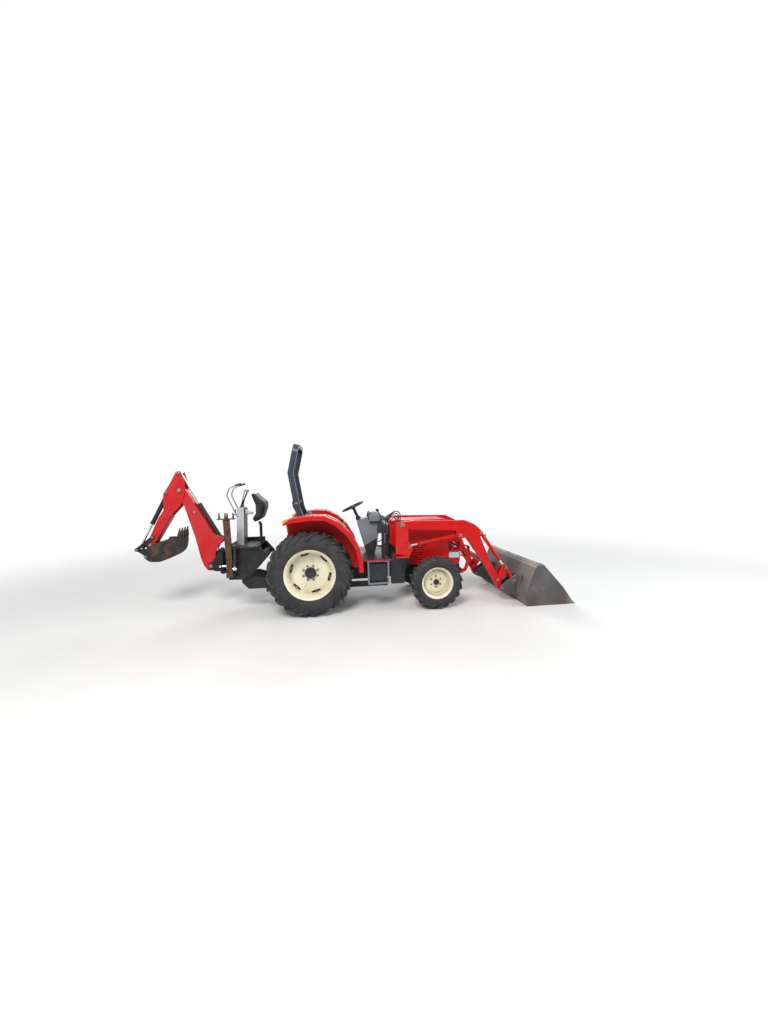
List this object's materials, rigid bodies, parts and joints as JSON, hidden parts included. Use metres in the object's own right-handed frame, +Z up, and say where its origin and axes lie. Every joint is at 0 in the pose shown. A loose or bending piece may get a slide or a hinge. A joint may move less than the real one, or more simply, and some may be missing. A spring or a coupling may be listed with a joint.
{
  "type": "farm tractor",
  "caption": "Compact four-wheel-drive tractor with a folding roll bar, a front bucket loader and a rear digging arm with stabilizer legs.",
  "frame": {"origin": "on the ground, under the middle of the whole length with its bucket down and its digging arm folded", "axes": "+X forward along the machine, +Y to the driver's left, +Z up"},
  "size_m": [6.726, 1.736, 2.5664],
  "materials": {
    "tyre": "matte",
    "rim": "satin",
    "red_paint": "gloss",
    "grey_paint": "satin",
    "castings": "matte",
    "black_paint": "satin",
    "black_plastic": "matte",
    "seat_cover": "matte",
    "lens": "gloss",
    "amber_lens": "gloss",
    "worn_steel": "worn",
    "rod_chrome": "polished",
    "silver_paint": "satin",
    "hoe_paint": "worn",
    "rusty_steel": "worn"
  },
  "bodies": {
    "tractor": {"engine_block": "castings", "transmission_case": "castings", "front_axle": "castings", "front_frame": "castings", "grille_guard": "red_paint", "loader_frames": "red_paint", "fenders": "red_paint", "rear_lamps": "amber_lens", "platform": "grey_paint", "fuel_tanks": "black_plastic", "seat": "seat_cover", "dash_console": "black_plastic", "rops_posts": "black_paint", "control_levers": "black_paint", "hoe_frame": "hoe_paint", "hoe_console": "silver_paint"},
    "knuckle_left": {"knuckle_left": "castings"},
    "wheel_front_left": {"tyre_front_left": "tyre", "rim_front_left": "rim"},
    "wheel_rear_left": {"tyre_rear_left": "tyre", "rim_rear_left": "rim"},
    "swing_rod_left": {"swing_rod_left": "rod_chrome"},
    "stabilizer_left": {"stabilizer_left": "rusty_steel"},
    "stabilizer_barrel_left": {"stabilizer_barrel_left": "hoe_paint"},
    "stabilizer_rod_left": {"stabilizer_rod_left": "rod_chrome"},
    "knuckle_right": {"knuckle_right": "castings"},
    "wheel_front_right": {"tyre_front_right": "tyre", "rim_front_right": "rim"},
    "wheel_rear_right": {"tyre_rear_right": "tyre", "rim_rear_right": "rim"},
    "swing_rod_right": {"swing_rod_right": "rod_chrome"},
    "stabilizer_right": {"stabilizer_right": "rusty_steel"},
    "stabilizer_barrel_right": {"stabilizer_barrel_right": "hoe_paint"},
    "stabilizer_rod_right": {"stabilizer_rod_right": "rod_chrome"},
    "hood": {"hood": "red_paint", "headlamps": "lens"},
    "roll_bar": {"rops_hoop": "black_paint"},
    "loader_arms": {"loader_boom": "red_paint"},
    "tie_rod": {"tie_rod": "castings"},
    "steering_wheel": {"steering_wheel": "black_plastic"},
    "lift_barrels": {"lift_barrels": "black_paint"},
    "lift_rods": {"lift_rods": "rod_chrome"},
    "loader_bucket": {"loader_bucket": "worn_steel"},
    "tilt_rockers": {"tilt_rockers": "red_paint"},
    "tilt_links": {"tilt_links": "black_paint"},
    "tilt_barrels": {"tilt_barrels": "black_paint"},
    "tilt_rods": {"tilt_rods": "rod_chrome"},
    "hoe_swing_post": {"hoe_swing_post": "hoe_paint"},
    "hoe_boom": {"hoe_boom": "red_paint"},
    "boom_barrel": {"boom_barrel": "hoe_paint"},
    "boom_rod": {"boom_rod": "rod_chrome"},
    "dipper": {"dipper": "red_paint"},
    "dipper_barrel": {"dipper_barrel": "hoe_paint"},
    "dipper_rod": {"dipper_rod": "rod_chrome"},
    "hoe_bucket": {"hoe_bucket": "rusty_steel"},
    "guide_links": {"guide_links": "rusty_steel"},
    "bucket_link": {"bucket_link": "rusty_steel"},
    "hoe_bucket_barrel": {"hoe_bucket_barrel": "hoe_paint"},
    "hoe_bucket_rod": {"hoe_bucket_rod": "rod_chrome"},
    "hoe_seat": {"hoe_seat": "seat_cover"}
  },
  "joints": [
    {"name": "steer_left", "type": "hinge", "parent": "tractor", "child": "knuckle_left", "pos_m": [1.19, 0.512, 0.405], "axis": [0, 0, 1], "range_deg": [-40, 40]},
    {"name": "steer_right", "type": "hinge", "parent": "tractor", "child": "knuckle_right", "pos_m": [1.19, -0.512, 0.405], "axis": [0, 0, 1], "range_deg": [-40, 40]},
    {"name": "tie_rod_turn", "type": "hinge", "parent": "knuckle_left", "child": "tie_rod", "pos_m": [1.06, 0.512, 0.311], "axis": [0, 0, 1], "range_deg": [-40, 40]},
    {"name": "steering_wheel_turn", "type": "hinge", "parent": "tractor", "child": "steering_wheel", "pos_m": [-0.033, 0, 1.562], "axis": [-0.4035, 0, 0.915], "range_deg": [-360, 360]},
    {"name": "front_wheel_left", "type": "hinge", "parent": "knuckle_left", "child": "wheel_front_left", "pos_m": [1.19, 0.664, 0.405], "axis": [0, 1, 0], "continuous": true},
    {"name": "rear_wheel_left", "type": "hinge", "parent": "tractor", "child": "wheel_rear_left", "pos_m": [-0.71, 0.622, 0.63], "axis": [0, 1, 0], "continuous": true},
    {"name": "front_wheel_right", "type": "hinge", "parent": "knuckle_right", "child": "wheel_front_right", "pos_m": [1.19, -0.664, 0.405], "axis": [0, 1, 0], "continuous": true},
    {"name": "rear_wheel_right", "type": "hinge", "parent": "tractor", "child": "wheel_rear_right", "pos_m": [-0.71, -0.622, 0.63], "axis": [0, 1, 0], "continuous": true},
    {"name": "hood_lift", "type": "hinge", "parent": "tractor", "child": "hood", "pos_m": [0.552, 0, 1.318], "axis": [0, -1, 0], "range_deg": [0, 45]},
    {"name": "roll_bar_fold", "type": "hinge", "parent": "tractor", "child": "roll_bar", "pos_m": [-0.9, 0, 1.655], "axis": [0, -1, 0], "range_deg": [0, 60]},
    {"name": "loader_lift", "type": "hinge", "parent": "tractor", "child": "loader_arms", "pos_m": [0.69, 0, 1.292], "axis": [0, -1, 0], "range_deg": [0, 70]},
    {"name": "lift_barrel_turn", "type": "hinge", "parent": "loader_arms", "child": "lift_barrels", "pos_m": [1.615, 0, 1.1], "axis": [0, -1, 0], "range_deg": [-7.98, 0]},
    {"name": "lift_rod_slide", "type": "slide", "parent": "lift_barrels", "child": "lift_rods", "axis": [-0.9855, 0, -0.1698], "range_m": [0, 0.38048]},
    {"name": "bucket_tilt", "type": "hinge", "parent": "loader_arms", "child": "loader_bucket", "pos_m": [2.28, 0, 0.228], "axis": [0, 1, 0], "range_deg": [-33, 92]},
    {"name": "rocker_turn", "type": "hinge", "parent": "loader_arms", "child": "tilt_rockers", "pos_m": [2.228, 0, 0.362], "axis": [0, -1, 0], "range_deg": [-91.45, 32.8]},
    {"name": "tilt_link_turn", "type": "hinge", "parent": "loader_bucket", "child": "tilt_links", "pos_m": [2.486, 0, 0.345], "axis": [0, -1, 0], "range_deg": [-17.06, 47.56]},
    {"name": "tilt_barrel_turn", "type": "hinge", "parent": "loader_arms", "child": "tilt_barrels", "pos_m": [1.958, 0, 1.132], "axis": [0, -1, 0], "range_deg": [-7.81, 2.8]},
    {"name": "tilt_rod_slide", "type": "slide", "parent": "tilt_barrels", "child": "tilt_rods", "axis": [0.5677, 0, -0.8232], "range_m": [-0.10745, 0.29956]},
    {"name": "hoe_swing", "type": "hinge", "parent": "tractor", "child": "hoe_swing_post", "pos_m": [-2.11, 0, 0.69], "axis": [0, 0, 1], "range_deg": [-90, 90]},
    {"name": "swing_rod_left_slide", "type": "slide", "parent": "tractor", "child": "swing_rod_left", "axis": [1, 0, 0], "range_m": [-0.128, 0.128]},
    {"name": "swing_rod_right_slide", "type": "slide", "parent": "tractor", "child": "swing_rod_right", "axis": [1, 0, 0], "range_m": [-0.128, 0.128]},
    {"name": "boom_lower", "type": "hinge", "parent": "hoe_swing_post", "child": "hoe_boom", "pos_m": [-2.27, 0, 0.69], "axis": [0, -1, 0], "range_deg": [0, 88]},
    {"name": "boom_barrel_turn", "type": "hinge", "parent": "hoe_boom", "child": "boom_barrel", "pos_m": [-2.468, 0, 1.54], "axis": [0, -1, 0], "range_deg": [0, 1.07]},
    {"name": "boom_rod_slide", "type": "slide", "parent": "boom_barrel", "child": "boom_rod", "axis": [0.4258, 0, -0.9048], "range_m": [0, 0.37183]},
    {"name": "dipper_open", "type": "hinge", "parent": "hoe_boom", "child": "dipper", "pos_m": [-2.667, 0, 1.881], "axis": [0, 1, 0], "range_deg": [0, 110]},
    {"name": "dipper_barrel_turn", "type": "hinge", "parent": "hoe_boom", "child": "dipper_barrel", "pos_m": [-2.112, 0, 1.096], "axis": [0, -1, 0], "range_deg": [-4.08, 0]},
    {"name": "dipper_rod_slide", "type": "slide", "parent": "dipper_barrel", "child": "dipper_rod", "axis": [-0.4673, 0, 0.8841], "range_m": [-0.42887, 0]},
    {"name": "hoe_bucket_open", "type": "hinge", "parent": "dipper", "child": "hoe_bucket", "pos_m": [-3.115, 0, 1.062], "axis": [0, 1, 0], "range_deg": [0, 118]},
    {"name": "guide_turn", "type": "hinge", "parent": "dipper", "child": "guide_links", "pos_m": [-3.086, 0, 1.176], "axis": [0, -1, 0], "range_deg": [-76.94, 0]},
    {"name": "bucket_link_turn", "type": "hinge", "parent": "hoe_bucket", "child": "bucket_link", "pos_m": [-3.188, 0, 0.884], "axis": [0, -1, 0], "range_deg": [0, 88.85]},
    {"name": "hoe_barrel_turn", "type": "hinge", "parent": "dipper", "child": "hoe_bucket_barrel", "pos_m": [-2.858, 0, 1.853], "axis": [0, -1, 0], "range_deg": [-15.13, 0]},
    {"name": "hoe_rod_slide", "type": "slide", "parent": "hoe_bucket_barrel", "child": "hoe_bucket_rod", "axis": [-0.4736, 0, -0.8808], "range_m": [-0.30663, 0]},
    {"name": "stabilizer_left_lower", "type": "hinge", "parent": "tractor", "child": "stabilizer_left", "pos_m": [-1.905, 0.345, 0.59], "axis": [-1, 0, 0], "range_deg": [0, 118]},
    {"name": "stabilizer_barrel_left_turn", "type": "hinge", "parent": "tractor", "child": "stabilizer_barrel_left", "pos_m": [-1.82, 0.385, 1.042], "axis": [1, 0, 0], "range_deg": [-7.84, 0]},
    {"name": "stabilizer_rod_left_slide", "type": "slide", "parent": "stabilizer_barrel_left", "child": "stabilizer_rod_left", "axis": [0, 0.1639, -0.9865], "range_m": [0, 0.24937]},
    {"name": "stabilizer_right_lower", "type": "hinge", "parent": "tractor", "child": "stabilizer_right", "pos_m": [-1.905, -0.345, 0.59], "axis": [-1, 0, 0], "range_deg": [-118, 0]},
    {"name": "stabilizer_barrel_right_turn", "type": "hinge", "parent": "tractor", "child": "stabilizer_barrel_right", "pos_m": [-1.82, -0.385, 1.042], "axis": [1, 0, 0], "range_deg": [0, 7.84]},
    {"name": "stabilizer_rod_right_slide", "type": "slide", "parent": "stabilizer_barrel_right", "child": "stabilizer_rod_right", "axis": [0, -0.1639, -0.9865], "range_m": [0, 0.24937]},
    {"name": "hoe_seat_tip", "type": "hinge", "parent": "tractor", "child": "hoe_seat", "pos_m": [-1.522, 0, 1.35], "axis": [0, 1, 0], "range_deg": [0, 80]}
  ],
  "couplings": [
    {"joint": "steer_right", "follows": "steer_left", "ratio": 1},
    {"joint": "tie_rod_turn", "follows": "steer_left", "ratio": -1},
    {"joint": "steering_wheel_turn", "follows": "steer_left", "ratio": 9},
    {"joint": "lift_barrel_turn", "follows": "loader_lift", "ratio": -0.114},
    {"joint": "lift_rod_slide", "follows": "loader_lift", "m_per_rad": 0.31142},
    {"joint": "rocker_turn", "follows": "bucket_tilt", "ratio": -0.994},
    {"joint": "tilt_link_turn", "follows": "bucket_tilt", "ratio": 0.517},
    {"joint": "tilt_barrel_turn", "follows": "bucket_tilt", "ratio": -0.084903},
    {"joint": "tilt_rod_slide", "follows": "bucket_tilt", "m_per_rad": 0.18655},
    {"joint": "swing_rod_left_slide", "follows": "hoe_swing", "m_per_rad": -0.081487},
    {"joint": "swing_rod_right_slide", "follows": "hoe_swing", "m_per_rad": 0.081487},
    {"joint": "boom_barrel_turn", "follows": "boom_lower", "ratio": 0.012207},
    {"joint": "boom_rod_slide", "follows": "boom_lower", "m_per_rad": 0.24209},
    {"joint": "dipper_barrel_turn", "follows": "dipper_open", "ratio": -0.037075},
    {"joint": "dipper_rod_slide", "follows": "dipper_open", "m_per_rad": -0.22338},
    {"joint": "guide_turn", "follows": "hoe_bucket_open", "ratio": -0.652},
    {"joint": "bucket_link_turn", "follows": "hoe_bucket_open", "ratio": 0.753},
    {"joint": "hoe_barrel_turn", "follows": "hoe_bucket_open", "ratio": -0.12824},
    {"joint": "hoe_rod_slide", "follows": "hoe_bucket_open", "m_per_rad": -0.14888},
    {"joint": "stabilizer_barrel_left_turn", "follows": "stabilizer_left_lower", "ratio": -0.066422},
    {"joint": "stabilizer_rod_left_slide", "follows": "stabilizer_left_lower", "m_per_rad": 0.12108},
    {"joint": "stabilizer_barrel_right_turn", "follows": "stabilizer_right_lower", "ratio": -0.066422},
    {"joint": "stabilizer_rod_right_slide", "follows": "stabilizer_right_lower", "m_per_rad": -0.12108}
  ]
}
